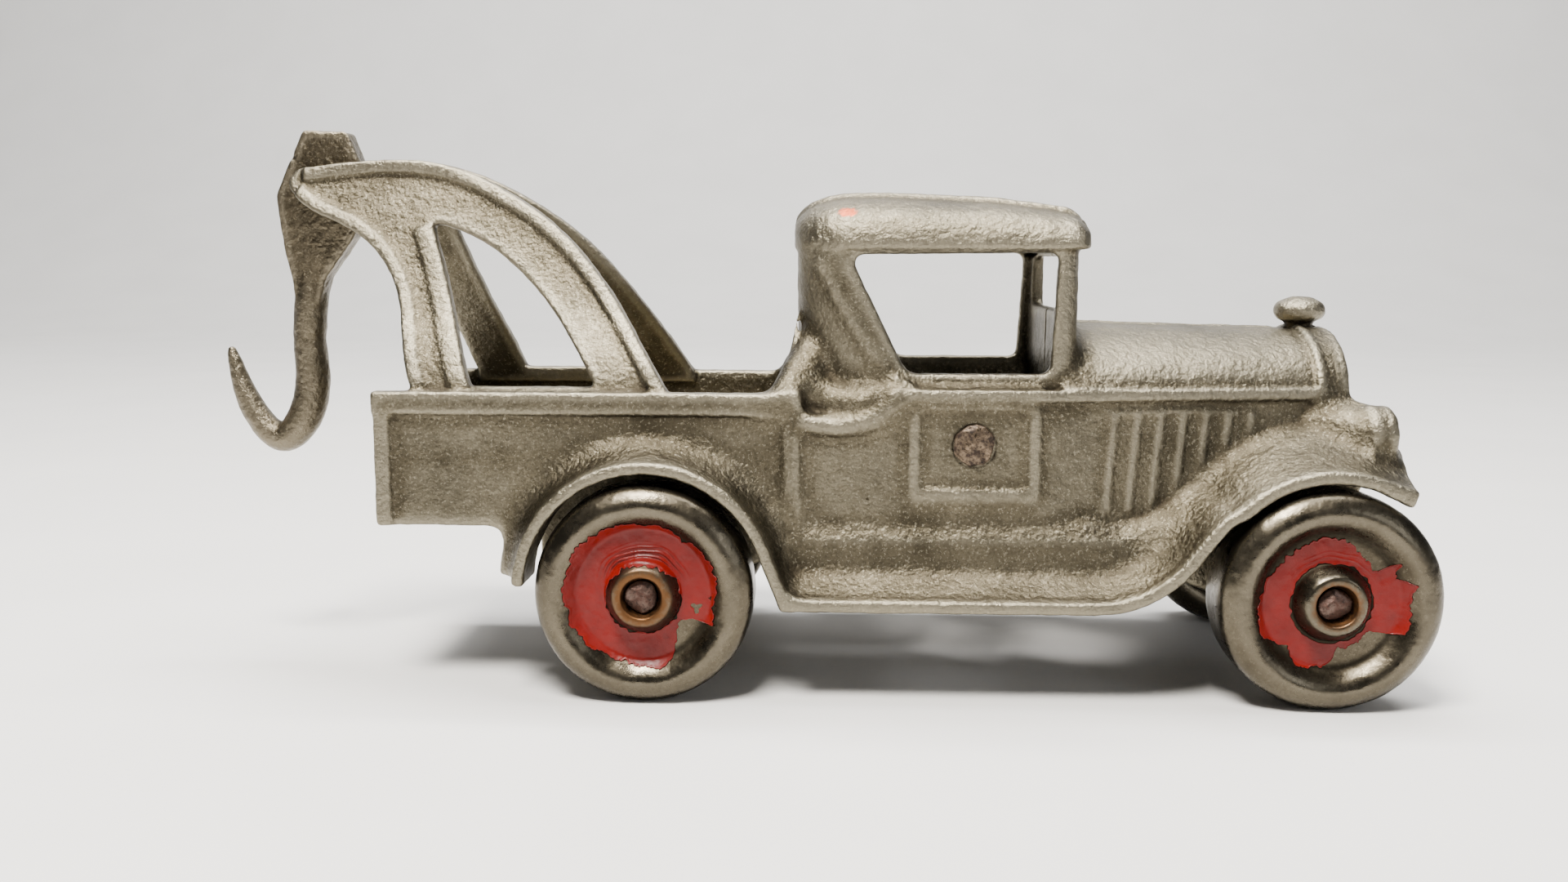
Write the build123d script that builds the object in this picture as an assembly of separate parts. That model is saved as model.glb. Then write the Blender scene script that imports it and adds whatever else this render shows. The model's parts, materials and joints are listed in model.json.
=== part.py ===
from build123d import *
from math import cos, radians, sin, sqrt
import os

# Toy tow truck: two hollow cast body halves on a centre seam, one rivet, two rod axles, four cast wheels and
# a swinging tow hook.  Millimetres.  +X is the front of the truck, +Y its left side, +Z up.  The shape is
# laid out from the middle of the wheelbase; every piece is then moved by ORIGIN_SHIFT along X, so that the
# frame's origin lies under the middle of the whole truck, on the ground.

# ---- driving dimensions ----------------------------------------------------------------------------------
WHEEL_R = 18.0
WHEELBASE = 110.8
HOOK_TIP_X = -136.0
WALL = 2.2
BODY_Y = 24.0                 # outer face of bed, cab and door panels
FENDER_Y = 32.0               # outer edge of fenders and running boards
RIM_T = 2.1                   # height of the fender rim

REAR_X = -WHEELBASE / 2
FRONT_X = WHEELBASE / 2
AXLE_Z = WHEEL_R
ORIGIN_SHIFT = -(HOOK_TIP_X + FRONT_X + WHEEL_R) / 2

# bed
BED_REAR_X = -101.6
BED_BOTTOM_Z = 27.6
RAIL_TOP_Z = 50.3
RAIL_H = 3.8
RAIL_PROUD = 0.9
STILE_W = 3.0
FLOOR_Z = 38.0
FLOOR_T = 2.0
TAILGATE_TOP_Z = 47.6

# cab and hood
CAB_REAR_X = -30.9
CAB_FRONT_X = 15.5
CAB_Y = 22.5
BELT_Z = 50.2
BELT_H = 2.0
BELT_PROUD = 0.8
ROOF_EDGE_Z = 74.0
ROOF_Y = 23.4
ROOF_REAR_X = -31.5
ROOF_FRONT_X = 17.5
ROOF_CROWN_X = -14.0           # the roof is highest here and falls gently forwards
ROOF_CROWN_Z = 83.6
ROOF_FALL = 0.0031             # drop in mm for each square mm forward of the crown
ROOF_REAR_R = 10.6
ROOF_REAR_DROP = 5.4
ROOF_FRONT_R = 3.4
ROOF_FRONT_DROP = 4.4
CURL_Z = 46.6                  # top of the belt where it has curled down behind the cab
CAB_FOOT_CORNER_R = 19.0       # the rear corners widen from the roof to the foot of the cab
CAB_HEAD_CORNER_R = 7.5
SILL_Z = 53.6
TAPER_X = 10.0                # the sides run straight to here, then taper to the radiator
NOSE_X = 61.8
NOSE_BOW = 0.4                # the nose falls back this far from the seam to its sides
NOSE_Y = 16.0
BROW_R = 1.8
HOOD_TOP_REAR_Z = 61.4
HOOD_TOP_FRONT_Z = 60.3
LOWER_EDGE_Z = 25.0
SHELL_PROUD = 0.45
SHELL_X = 57.0
LAMP_FRONT_X = 67.9
LAMP_REAR_X = 63.4
LAMP_Y = 19.4
LAMP_Z = 43.5
LAMP_R = 5.2
LAMP_ROOT = (55.5, 12.5, 44.6)  # where the neck of the lamp grows out of the bonnet
LAMP_ROOT_R = 5.3
LOUVER_COUNT = 7
LOUVER_FIRST_X = 21.8
LOUVER_PITCH = 3.88
LOUVER_TOP_Z = 47.2
LOUVER_FOOT_Z = 31.0
LOUVER_LEAN = 1.1              # the ribs lean back this far from top to foot
LOUVER_W = 1.1
LOUVER_PROUD = 0.42
CAP_X = 58.2

# fenders
REAR_FENDER_R = 21.8
FRONT_FENDER_R = 21.2
BOARD_TOP_Z = 17.4
BOARD_REAR_X = -33.0
BOARD_FRONT_X = 17.9
BOARD_BEND_R = 18.0
REAR_END_ANGLE = 22.0         # where the rear fender leaves its arc, above the horizontal, front side
REAR_TIP_ANGLE = 177.0
FRONT_START_ANGLE = 136.5
FRONT_TIP_ANGLE = 72.0
FRONT_TIP_RUN = 6.8           # straight run from the end of the arc to the tip
FRONT_TIP_DEEPER = 0.9

# axles, wheels and rivet
ROD_R = 4.76 / 2
WHEEL_BORE_R = ROD_R + 0.06
BODY_BORE_R = ROD_R + 0.08
CHASSIS_Y = 18.0
HUB_IN_Y = 18.4
HUB_OUT_Y = 34.2
HUB_R = 6.2
HUB_TOP_R = 4.6
COUNTERSINK_R = 3.3
COUNTERSINK_DEPTH = 2.4
TYRE_MID_Y = 27.1
TYRE_HALF_W = 6.5
TYRE_CREST_R = 14.5           # where the tyre stands out furthest
TREAD_HALF_W = 2.2            # flat part of the tread
DISC_R = 10.9
DISC_HALF_W = 4.0
PEEN_R = 2.8
PEEN_H = 1.2
PEEN_SUNK = 0.2               # the peened ends lie this far below the rims of the hubs
RIVET_X = -1.4
RIVET_Z = 41.8
RIVET_R = 2.0
RIVET_HEAD_R = 3.7
RIVET_HEAD_H = 1.3
BOSS_R = 5.0

# boom and hook
BOOM_T = 2.6
BOOM_FOOT_Y = 23.4
BOOM_TIP_Y = 5.0
BOOM_RIB = 0.9
PIVOT_X = -114.6
PIVOT_Z = 83.6
TRUNNION_R = 1.6
SOCKET_R = TRUNNION_R + 0.07
HEAD_T = 4.4
TRUNNION_TIP_Y = 3.9
# (place along the shank from head to tip, radius there)
HOOK_RADII = (
    (0.0, 1.6), (0.14, 2.3), (0.28, 2.8), (0.42, 3.0), (0.56, 3.1),
    (0.66, 2.85), (0.76, 2.4), (0.86, 1.9), (0.94, 1.35), (1.0, 0.6),
)

# locating pins of the left half
PIN_R = 1.5
PIN_SOCKET_R = 1.6
PIN_L = 2.0
PIN_PLACES = ((-92.0, 34.4), (38.0, 54.6))


# ---- helpers ---------------------------------------------------------------------------------------------
def outline(*points, radius=0.0):
    """A closed outline, with every corner rounded when a radius is given."""
    face = make_face(Polyline(*points, close=True))
    if radius > 0:
        face = fillet(face.vertices(), radius)
    return face


def across(face, y0, y1):
    """A side-view outline (x, z) stretched over the truck's width from y0 to y1."""
    return Pos(0, y0, 0) * extrude(Plane.XZ * face, amount=-(y1 - y0))


def along(face, x0, x1):
    """A rear-view outline (y, z) stretched along the truck from x0 to x1."""
    return Pos(x0, 0, 0) * extrude(Plane.YZ * face, amount=x1 - x0)


def block(x0, x1, y0, y1, z0, z1):
    return Pos((x0 + x1) / 2, (y0 + y1) / 2, (z0 + z1) / 2) * Box(x1 - x0, y1 - y0, z1 - z0)


def rod(x, z, radius, y0, y1):
    """A round bar along Y."""
    return across(Pos(x, z) * Circle(radius), y0, y1)


# ---- cab and hood ----------------------------------------------------------------------------------------
def hood_section(x, half_width, top_z, inset):
    """Rear-view outline of the bonnet: upright sides to the belt, then a round arch."""
    y = half_width - inset
    rise = top_z - inset - BELT_Z
    sides = Polyline((0, top_z - inset), (0, LOWER_EDGE_Z - inset), (y, LOWER_EDGE_Z - inset), (y, BELT_Z))
    arch = EllipticalCenterArc((0, BELT_Z), y, rise, start_angle=0, arc_size=90)
    return Plane.YZ.offset(x) * make_face([sides, arch])


def hood_solid(inset):
    """The whole bonnet, tapering to the nose, whose front is bowed in plan and rounded at the brow."""
    body = loft(
        [
            hood_section(TAPER_X, BODY_Y, HOOD_TOP_REAR_Z, inset),
            hood_section(NOSE_X + 1, NOSE_Y, HOOD_TOP_FRONT_Z, inset),
        ],
        ruled=True,
    )
    nose_x = NOSE_X - inset
    side = outline((0, 10), (nose_x, 10), (nose_x, HOOD_TOP_FRONT_Z - inset + 0.4), (0, HOOD_TOP_FRONT_Z + 3))
    side = fillet(side.vertices().sort_by(Axis.X)[-2:].sort_by(Axis.Y)[-1], BROW_R)
    half_way = (nose_x - NOSE_BOW / 4, (NOSE_Y + 1) / 2)
    plan = make_face(
        [
            ThreePointArc((nose_x, 0), half_way, (nose_x - NOSE_BOW, NOSE_Y + 1)),
            Polyline((nose_x - NOSE_BOW, NOSE_Y + 1), (nose_x - NOSE_BOW, 30), (0, 30), (0, 0), (nose_x, 0)),
        ]
    )
    return body & across(side, 0, BODY_Y + 3) & extrude(plan, amount=HOOD_TOP_REAR_Z + 5)


def rounded_plan(rear, front, half_width, rear_r, front_r):
    """Plan view of one half, from the seam outward, with round outer corners."""
    plan = outline((rear, 0), (front, 0), (front, half_width), (rear, half_width))
    rear_corner = plan.vertices().sort_by(Axis.Y)[-2:].sort_by(Axis.X)[0]
    plan = fillet(rear_corner, rear_r)
    front_corner = plan.vertices().sort_by(Axis.X)[-2:].sort_by(Axis.Y)[-1]
    return fillet(front_corner, front_r)


def cab_plan(z, corner_r, inset):
    """Plan view of half the upper cab at one height."""
    plan = rounded_plan(CAB_REAR_X + inset, CAB_FRONT_X - inset, CAB_Y - inset, corner_r - inset, 3.0 - inset)
    return Pos(0, 0, z) * plan


def cab_solid(inset):
    """The upper cab: upright sides, rear corners that widen downwards."""
    foot = cab_plan(CURL_Z - 1 - inset, CAB_FOOT_CORNER_R, inset)
    head = cab_plan(ROOF_EDGE_Z + 1.5, CAB_HEAD_CORNER_R, inset)
    return loft([foot, head], ruled=True)


def roof_arch(x, half_width, base_z, top_z):
    """Rear-view outline of the roof at one place: an upright edge that turns over into a long crown."""
    rise = top_z - base_z
    edge = Spline(
        (half_width, base_z),
        (0.965 * half_width, base_z + 0.40 * rise),
        (0.86 * half_width, base_z + 0.68 * rise),
        (0.58 * half_width, base_z + 0.90 * rise),
        (0, top_z),
        tangents=((0, 1), (-1, 0)),
    )
    return Plane.YZ.offset(x) * make_face([edge, Polyline((0, top_z), (0, base_z), (half_width, base_z))])


def quarter_round(distance, radius):
    """How far, from 0 to 1, a rounded end still has to swell at a distance in from its tip."""
    left = max(0.0, 1 - distance / radius)
    return 1 - sqrt(1 - left * left)


def roof_solid(inset):
    """The roof: a smooth loaf, domed at the rear corners and rounded at the front."""
    base_z = ROOF_EDGE_Z if inset == 0 else ROOF_EDGE_Z - 1
    from_rear = (0, 0.3, 1.0, 2.2, 4.0, 6.2, 8.6, 11.0, 16.0)
    from_front = (17.0, 12.0, 8.0, 5.0, 3.4, 2.2, 1.2, 0.5, 0.1, 0)
    # the hollow inside stops short of both rounded ends
    stations = [ROOF_REAR_X + d for d in from_rear if d >= inset]
    stations += [ROOF_FRONT_X - d for d in from_front if d >= 1.5 * inset]
    sections = []
    for x in stations:
        rear = quarter_round(x - ROOF_REAR_X, ROOF_REAR_R)
        front = quarter_round(ROOF_FRONT_X - x, ROOF_FRONT_R)
        crown = ROOF_CROWN_Z - ROOF_FALL * max(0, x - ROOF_CROWN_X) ** 2
        top_z = crown - ROOF_REAR_DROP * rear - ROOF_FRONT_DROP * front
        half_width = ROOF_Y - ROOF_REAR_R * rear - ROOF_FRONT_R * front
        sections.append(roof_arch(x, half_width - inset, base_z, top_z - inset))
    return loft(sections, ruled=True)


def cab_openings():
    """Side window, windscreen and rear window of one half."""
    side = outline((-22.2, 73.0), (12.0, 73.4), (10.9, SILL_Z), (-12.6, SILL_Z), radius=1.4)
    windscreen = outline((-18, 63.8), (18, 63.8), (18, 72.8), (-18, 72.8), radius=1.2)
    rear = outline((-9.5, 57.5), (9.5, 57.5), (9.5, 69.5), (-9.5, 69.5), radius=3.0)
    return (
        across(side, 15, 30)
        + along(windscreen, CAB_FRONT_X - WALL - 3, CAB_FRONT_X + 1.5)
        + along(rear, CAB_REAR_X - 2, CAB_REAR_X + WALL + 1)
    )


def lower_cab():
    """Door panel whose shoulder steps in to the upper cab, and behind it a ledge under the curled belt."""
    inner_y = BODY_Y - WALL
    side = outline(
        (inner_y, LOWER_EDGE_Z),
        (BODY_Y, LOWER_EDGE_Z),
        (BODY_Y, BELT_Z + 0.6),
        (CAB_Y - 0.2, BELT_Z + 2.2),
        (CAB_Y - WALL, BELT_Z + 2.2),
        (CAB_Y - WALL, BELT_Z - 1),
        (inner_y, BELT_Z - 2),
    )
    above_curl = outline(
        (CAB_REAR_X - 1, CURL_Z),
        (-20.0, CURL_Z),
        (-16.0, 48.6),
        (-12.2, BELT_Z + 0.6),
        (-12.2, 56),
        (CAB_REAR_X - 1, 56),
    )
    ledge = outline(
        (CAB_REAR_X, CURL_Z),
        (-20.0, CURL_Z),
        (-16.0, 48.6),
        (-12.2, BELT_Z + 0.6),
        (-12.2, BELT_Z - 1.8),
        (-15.4, 46.6),
        (-19.4, CURL_Z - 2),
        (CAB_REAR_X, CURL_Z - 2),
    )
    panel = along(side, CAB_REAR_X, TAPER_X) - across(above_curl, 0, BODY_Y + 1)
    back = block(CAB_REAR_X, CAB_REAR_X + WALL, 0, BODY_Y - 0.5, BED_BOTTOM_Z, CURL_Z)
    return panel + back + across(ledge, 12, BODY_Y)


def belt():
    """Raised moulding under the windows; it curls down round the rear corner of the cab."""
    half = BELT_H / 2
    upper = Spline(
        (-12.4, BELT_Z + half),
        (-16.0, 48.9),
        (-19.6, 46.7),
        (-24.7, 45.9),
        (-30.5, 46.7),
        tangents=((-1, 0), (-1, 0.1)),
    )
    lower = Spline(
        (-30.5, 44.2),
        (-23.4, 43.5),
        (-18.2, 44.4),
        (-14.6, 46.7),
        (-10.6, BELT_Z - half),
        tangents=((1, -0.2), (1, 0)),
    )
    straight = Polyline(
        (-10.6, BELT_Z - half), (TAPER_X, BELT_Z - half), (TAPER_X, BELT_Z + half), (-12.4, BELT_Z + half)
    )
    cab_part = make_face([upper, Line((-30.5, 46.7), (-30.5, 44.2)), lower, straight])
    hood_part = hood_solid(-BELT_PROUD) - hood_solid(0.5)
    band = block(TAPER_X, NOSE_X - 3, 0, BODY_Y + 2, BELT_Z - half, BELT_Z + half)
    return across(cab_part, BODY_Y - 0.5, BODY_Y + BELT_PROUD) + (hood_part & band)


def radiator_shell():
    """Proud band round the front end of the bonnet, with a bead along its rear edge."""
    above = block(SHELL_X, NOSE_X + 1, 0, 30, 44, 70)
    bead = block(SHELL_X - 0.6, SHELL_X + 0.6, 0, 30, 48, 70)
    core = hood_solid(0.5)
    return ((hood_solid(-SHELL_PROUD) - core) & above) + ((hood_solid(-2 * SHELL_PROUD) - core) & bead)


def nose_skin(depth):
    """A slice of the bonnet, as thick as depth, just behind its bowed front."""
    hood = hood_solid(0)
    return hood - Pos(-depth, 0, 0) * hood


def grille():
    """A shallow pocket in the nose, and the upright bars that stand in it."""
    depth, bar_sink, bar_w, pitch = 0.9, 0.2, 0.9, 2.1
    opening = outline((1.4, 29), (12.0, 29), (12.0, 52), (7.5, 56.0), (1.4, 57.0))
    pocket = nose_skin(depth) & along(opening, NOSE_X - 4, NOSE_X + 2)
    skin = Pos(-bar_sink, 0, 0) * nose_skin(depth)
    bars = []
    for index in range(5):
        y = 2.9 + pitch * index
        bars.append(skin & block(NOSE_X - 4, NOSE_X + 2, y - bar_w / 2, y + bar_w / 2, 28.5, 55))
    return pocket, bars


def louvers():
    """Low upright ribs on the bonnet side."""
    ribs = None
    half = LOUVER_W / 2
    for index in range(LOUVER_COUNT):
        x = LOUVER_FIRST_X + LOUVER_PITCH * index
        foot_x = x - LOUVER_LEAN
        face = outline(
            (x - half, LOUVER_TOP_Z),
            (x + half, LOUVER_TOP_Z),
            (foot_x + half, LOUVER_FOOT_Z),
            (foot_x - half, LOUVER_FOOT_Z),
        )
        rib = across(face, 0, BODY_Y + 2)
        ribs = rib if ribs is None else ribs + rib
    return (hood_solid(-LOUVER_PROUD) - hood_solid(0.5)) & ribs


def headlight():
    """Short drum lamp with a bead at each end of its rim, on a full neck that grows out of the bonnet."""
    front, rear, r = LAMP_FRONT_X, LAMP_REAR_X, LAMP_R
    profile = make_face(
        Polyline(
            (front, 0),
            (front, r - 1.2),
            (front - 0.6, r - 0.3),
            (front - 1.4, r - 0.1),
            (front - 1.9, r - 0.4),
            (rear + 1.6, r - 0.4),
            (rear + 1.0, r),
            (rear + 0.3, r),
            (rear, r - 0.4),
            (rear - 0.1, 0),
            close=True,
        )
    )
    drum = Pos(0, LAMP_Y, LAMP_Z) * revolve(profile, axis=Axis.X)
    root = Vector(*LAMP_ROOT)
    run = Vector(rear + 0.8, LAMP_Y, LAMP_Z) - root
    neck = Solid.make_cone(LAMP_ROOT_R, r - 0.7, run.length, plane=Plane(origin=root, z_dir=run))
    return drum + (neck - hood_solid(0.5))


def door_frame():
    """Raised bead round the door panel."""
    outer = outline((-12.2, 32.8), (9.4, 32.8), (9.4, 49.4), (-12.2, 49.4), radius=1.8)
    inner = outline((-10.4, 34.6), (7.6, 34.6), (7.6, 47.6), (-10.4, 47.6), radius=1.2)
    return across(outer - inner, BODY_Y - 0.5, BODY_Y + 0.6)


# ---- bed -------------------------------------------------------------------------------------------------
def bed():
    inner_y = BODY_Y - WALL
    proud_y = BODY_Y + RAIL_PROUD
    side = outline(
        (BED_REAR_X + 0.5, BED_BOTTOM_Z),
        (CAB_REAR_X + 0.5, BED_BOTTOM_Z),
        (CAB_REAR_X + 0.5, RAIL_TOP_Z),
        (BED_REAR_X, RAIL_TOP_Z),
    )
    panel = across(side, inner_y, BODY_Y)
    rail = block(BED_REAR_X, CAB_REAR_X + 0.4, inner_y, proud_y, RAIL_TOP_Z - RAIL_H, RAIL_TOP_Z)
    rear_stile = block(BED_REAR_X + 0.3, BED_REAR_X + STILE_W, inner_y, proud_y, BED_BOTTOM_Z, RAIL_TOP_Z)
    front_stile = block(CAB_REAR_X - 1.6, CAB_REAR_X + 0.6, inner_y, proud_y, BED_BOTTOM_Z, RAIL_TOP_Z)
    floor = block(BED_REAR_X + 1, CAB_REAR_X + 1, 0, inner_y + 1, FLOOR_Z, FLOOR_Z + FLOOR_T)
    tailgate = block(BED_REAR_X + 0.4, BED_REAR_X + 0.4 + WALL, 0, inner_y + 1, BED_BOTTOM_Z, TAILGATE_TOP_Z)
    well = rod(REAR_X, AXLE_Z, REAR_FENDER_R - RIM_T, inner_y - 1, proud_y + 1)
    return (panel + rail + rear_stile + front_stile - well) + floor + tailgate


# ---- fenders, running board and chassis walls ------------------------------------------------------------
# Cross-sections as (y, height over the rim's top edge); all have the same number of corners.
BOARD_SECTION = (
    (32.0, 0.0), (30.0, 0.3), (26.3, 2.7), (25.5, 3.8), (25.3, 8.8), (24.0, 11.4),
    (22.0, 11.4), (22.0, 9.0), (23.2, 6.5), (23.2, 0.4), (30.0, -RIM_T), (32.0, -RIM_T),
)
REAR_SECTION = (
    (32.0, 0.0), (30.3, 0.0), (28.0, 0.5), (26.4, 1.2), (25.0, 2.2), (24.0, 3.6),
    (22.0, 3.6), (22.0, 2.0), (22.0, 0.0), (22.0, -RIM_T), (30.0, -RIM_T), (32.0, -RIM_T),
)
FRONT_SECTION = (
    (32.0, 0.0), (30.3, 0.2), (27.5, 1.1), (25.0, 2.1), (22.0, 3.5), (19.4, 5.0),
    (16.2, 5.6), (16.2, 2.0), (18.0, 0.5), (22.0, -0.6), (30.0, -RIM_T), (32.0, -RIM_T),
)


def radial_plane(x, angle):
    """Plane through an axle whose second axis points away from the axle at the given angle."""
    a = radians(angle)
    return Plane(origin=(x, 0, AXLE_Z), x_dir=(0, 1, 0), z_dir=(sin(a), 0, -cos(a)))


def section_face(section, lift):
    return make_face(Polyline(*[(y, h + lift) for y, h in section], close=True))


def rear_fender():
    """Arc over the rear wheel, then a straight run down to the running board."""
    face = radial_plane(REAR_X, REAR_TIP_ANGLE) * section_face(REAR_SECTION, REAR_FENDER_R)
    axle = Axis((REAR_X, 0, AXLE_Z), (0, 1, 0))
    arc = revolve(face, axis=axle, revolution_arc=REAR_TIP_ANGLE - REAR_END_ANGLE)
    end = radial_plane(REAR_X, REAR_END_ANGLE)
    run = extrude(end * section_face(REAR_SECTION, REAR_FENDER_R), amount=13)
    ground_cut = block(-60, 0, 0, 40, 0, BOARD_TOP_Z - RIM_T)
    return arc + (run - ground_cut)


def blend(start, end, share):
    """A cross-section part of the way from one to another."""
    return [(y0 + share * (y1 - y0), h0 + share * (h1 - h0)) for (y0, h0), (y1, h1) in zip(start, end)]


def deeper(section, extra):
    """A cross-section whose rim hangs lower by extra."""
    return [(y, h - extra if h <= -RIM_T else h) for y, h in section]


def climbing_plane(x, z, slope):
    """Plane across the fender where its rim climbs at the given slope, in degrees."""
    a = radians(slope)
    return Plane(origin=(x, 0, z), x_dir=(0, 1, 0), z_dir=(cos(a), 0, sin(a)))


def front_fender():
    """A bend up from the running board, a rise, an arc over the front wheel and a straight tip."""
    slope = FRONT_START_ANGLE - 90
    bend_x, bend_z = BOARD_FRONT_X, BOARD_TOP_Z + BOARD_BEND_R
    stations = [(0, 0.0), (slope / 3, 0.08), (2 * slope / 3, 0.22), (slope, 0.4)]
    sections = []
    for angle, share in stations:
        a = radians(angle)
        plane = climbing_plane(bend_x + BOARD_BEND_R * sin(a), bend_z - BOARD_BEND_R * cos(a), angle)
        sections.append(plane * section_face(blend(BOARD_SECTION, FRONT_SECTION, share), 0))
    start = radial_plane(FRONT_X, FRONT_START_ANGLE)
    face = start * section_face(FRONT_SECTION, FRONT_FENDER_R)
    rise = loft(sections + [face])
    axle = Axis((FRONT_X, 0, AXLE_Z), (0, 1, 0))
    arc = revolve(face, axis=axle, revolution_arc=FRONT_START_ANGLE - FRONT_TIP_ANGLE)
    tip_start = radial_plane(FRONT_X, FRONT_TIP_ANGLE)
    tip_end = tip_start.offset(FRONT_TIP_RUN)
    tip = loft(
        [
            tip_start * section_face(FRONT_SECTION, FRONT_FENDER_R),
            tip_end * section_face(deeper(FRONT_SECTION, FRONT_TIP_DEEPER), FRONT_FENDER_R),
        ],
        ruled=True,
    )
    return rise + arc + tip


def running_board():
    return along(section_face(BOARD_SECTION, BOARD_TOP_Z), BOARD_REAR_X, BOARD_FRONT_X)


def chassis_wall(axle_x, rear_reach, front_reach, top_z):
    """Wall inside a wheel, reaching down to a lug that carries the axle."""
    lug = 6.2
    side = outline(
        (axle_x - rear_reach, top_z),
        (axle_x - rear_reach, AXLE_Z + 0.5),
        (axle_x - lug - 3, AXLE_Z - 4.4),
        (axle_x - 3.5, AXLE_Z - lug),
        (axle_x + 3.5, AXLE_Z - lug),
        (axle_x + lug, AXLE_Z - 3.0),
        (axle_x + front_reach, AXLE_Z + 5),
        (axle_x + front_reach, top_z),
    )
    hole = rod(axle_x, AXLE_Z, BODY_BORE_R, 0, 30)
    return across(side, CHASSIS_Y - WALL, CHASSIS_Y) - hole


# ---- boom ------------------------------------------------------------------------------------------------
def boom_band(outward, thickness):
    """The splayed wall that the boom is cut from: wide at the bed, close together at the tip."""
    foot, tip = BOOM_FOOT_Y + outward, BOOM_TIP_Y + outward
    points = (
        (foot, 46.0),
        (foot - 0.2, RAIL_TOP_Z - 0.5),
        (foot - 8.6, 64.5),
        (tip + 4.2, 76.5),
        (tip, 87.0),
        (tip, 92.0),
    )
    inner_points = [(y - thickness, z) for y, z in points]
    tangents = ((0, 1), (0, 1))
    outer = Spline(*points, tangents=tangents)
    inner = Spline(*inner_points, tangents=tangents)
    face = make_face(
        [
            outer,
            Line(points[-1], inner_points[-1]),
            inner,
            Line(inner_points[0], points[0]),
        ]
    )
    return along(face, -125, -40)


# side views (x, z) of the boom's edges, from the tip to the bed and from the bed to the tip
BOOM_TOP = (
    (-118.6, 88.0), (-108.6, 89.1), (-93.7, 88.6), (-83.0, 84.4), (-72.5, 77.4), (-61.0, 64.1), (-52.2, 50.3),
)
BOOM_REAR = (
    (-95.0, 50.3), (-98.0, 60.0), (-100.3, 67.3), (-104.2, 73.2), (-109.4, 77.2), (-115.8, 80.1),
    (-120.0, 83.2),
)
WINDOW_TOP = (-94.8, 78.2)
WINDOW_REAR = (-85.3, 51.0)
WINDOW_FRONT = (-64.4, 51.0)


def boom_outline():
    """Side view of one boom half, from the tip over the arch to the bed."""
    top = Spline(*BOOM_TOP)
    rear = Spline(*BOOM_REAR)
    return make_face(
        [
            top,
            Polyline(BOOM_TOP[-1], (-51.6, 48.0), (-94.8, 48.0), BOOM_REAR[0]),
            rear,
            ThreePointArc(BOOM_REAR[-1], (-121.0, 86.2), BOOM_TOP[0]),
        ]
    )


def boom_window():
    """The tall opening between the rear leg and the arch."""
    return make_face(
        [
            Spline(WINDOW_TOP, (-84.4, 74.2), (-74.6, 65.6), (-67.2, 55.8), WINDOW_FRONT),
            Line(WINDOW_FRONT, WINDOW_REAR),
            Line(WINDOW_REAR, WINDOW_TOP),
        ]
    )


def boom_rib(points, width, lift, side):
    """A raised strip that follows one edge of the boom."""
    edge = Spline(*points)
    shifted = [(x + side * width * nx, z + side * width * nz) for x, z, nx, nz in normals(points)]
    inner = Spline(*shifted)
    face = make_face([edge, Line(points[-1], shifted[-1]), inner, Line(shifted[0], points[0])])
    return across(face, 0, 30) & boom_band(lift, BOOM_T)


def normals(points):
    """Each point with the unit normal of the polyline there, turned to the right of its run."""
    result = []
    for index, (x, z) in enumerate(points):
        x0, z0 = points[max(index - 1, 0)]
        x1, z1 = points[min(index + 1, len(points) - 1)]
        length = ((x1 - x0) ** 2 + (z1 - z0) ** 2) ** 0.5
        result.append((x, z, (z1 - z0) / length, -(x1 - x0) / length))
    return result


def boom():
    plate = across(boom_outline() - boom_window(), 0, 30) & boom_band(0, BOOM_T)
    arch_rib = boom_rib(BOOM_TOP, 2.3, BOOM_RIB, 1)
    rear_rib = boom_rib(BOOM_REAR, 2.4, BOOM_RIB * 0.7, 1)
    leg_rib = boom_rib((WINDOW_REAR, WINDOW_TOP), 3.2, BOOM_RIB * 0.6, -1)
    socket = rod(PIVOT_X, PIVOT_Z, SOCKET_R, 0, TRUNNION_TIP_Y + 0.2)
    return plate + arch_rib + rear_rib + leg_rib - socket


# ---- body halves -----------------------------------------------------------------------------------------
def radiator_cap():
    """Mushroom cap on a short neck; cast whole on the left half."""
    profile = make_face(
        [
            Polyline((0, 58.4), (2.3, 58.4), (2.3, 61.4), (3.4, 61.8)),
            ThreePointArc((3.4, 61.8), (4.45, 63.4), (3.6, 65.0)),
            Spline((3.6, 65.0), (2.0, 65.8), (0, 66.0), tangents=((-1, 0.6), (-1, 0))),
            Line((0, 66.0), (0, 58.4)),
        ]
    )
    return Pos(CAP_X, 0, 0) * revolve(Plane.XZ * profile, axis=Axis.Z)


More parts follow.
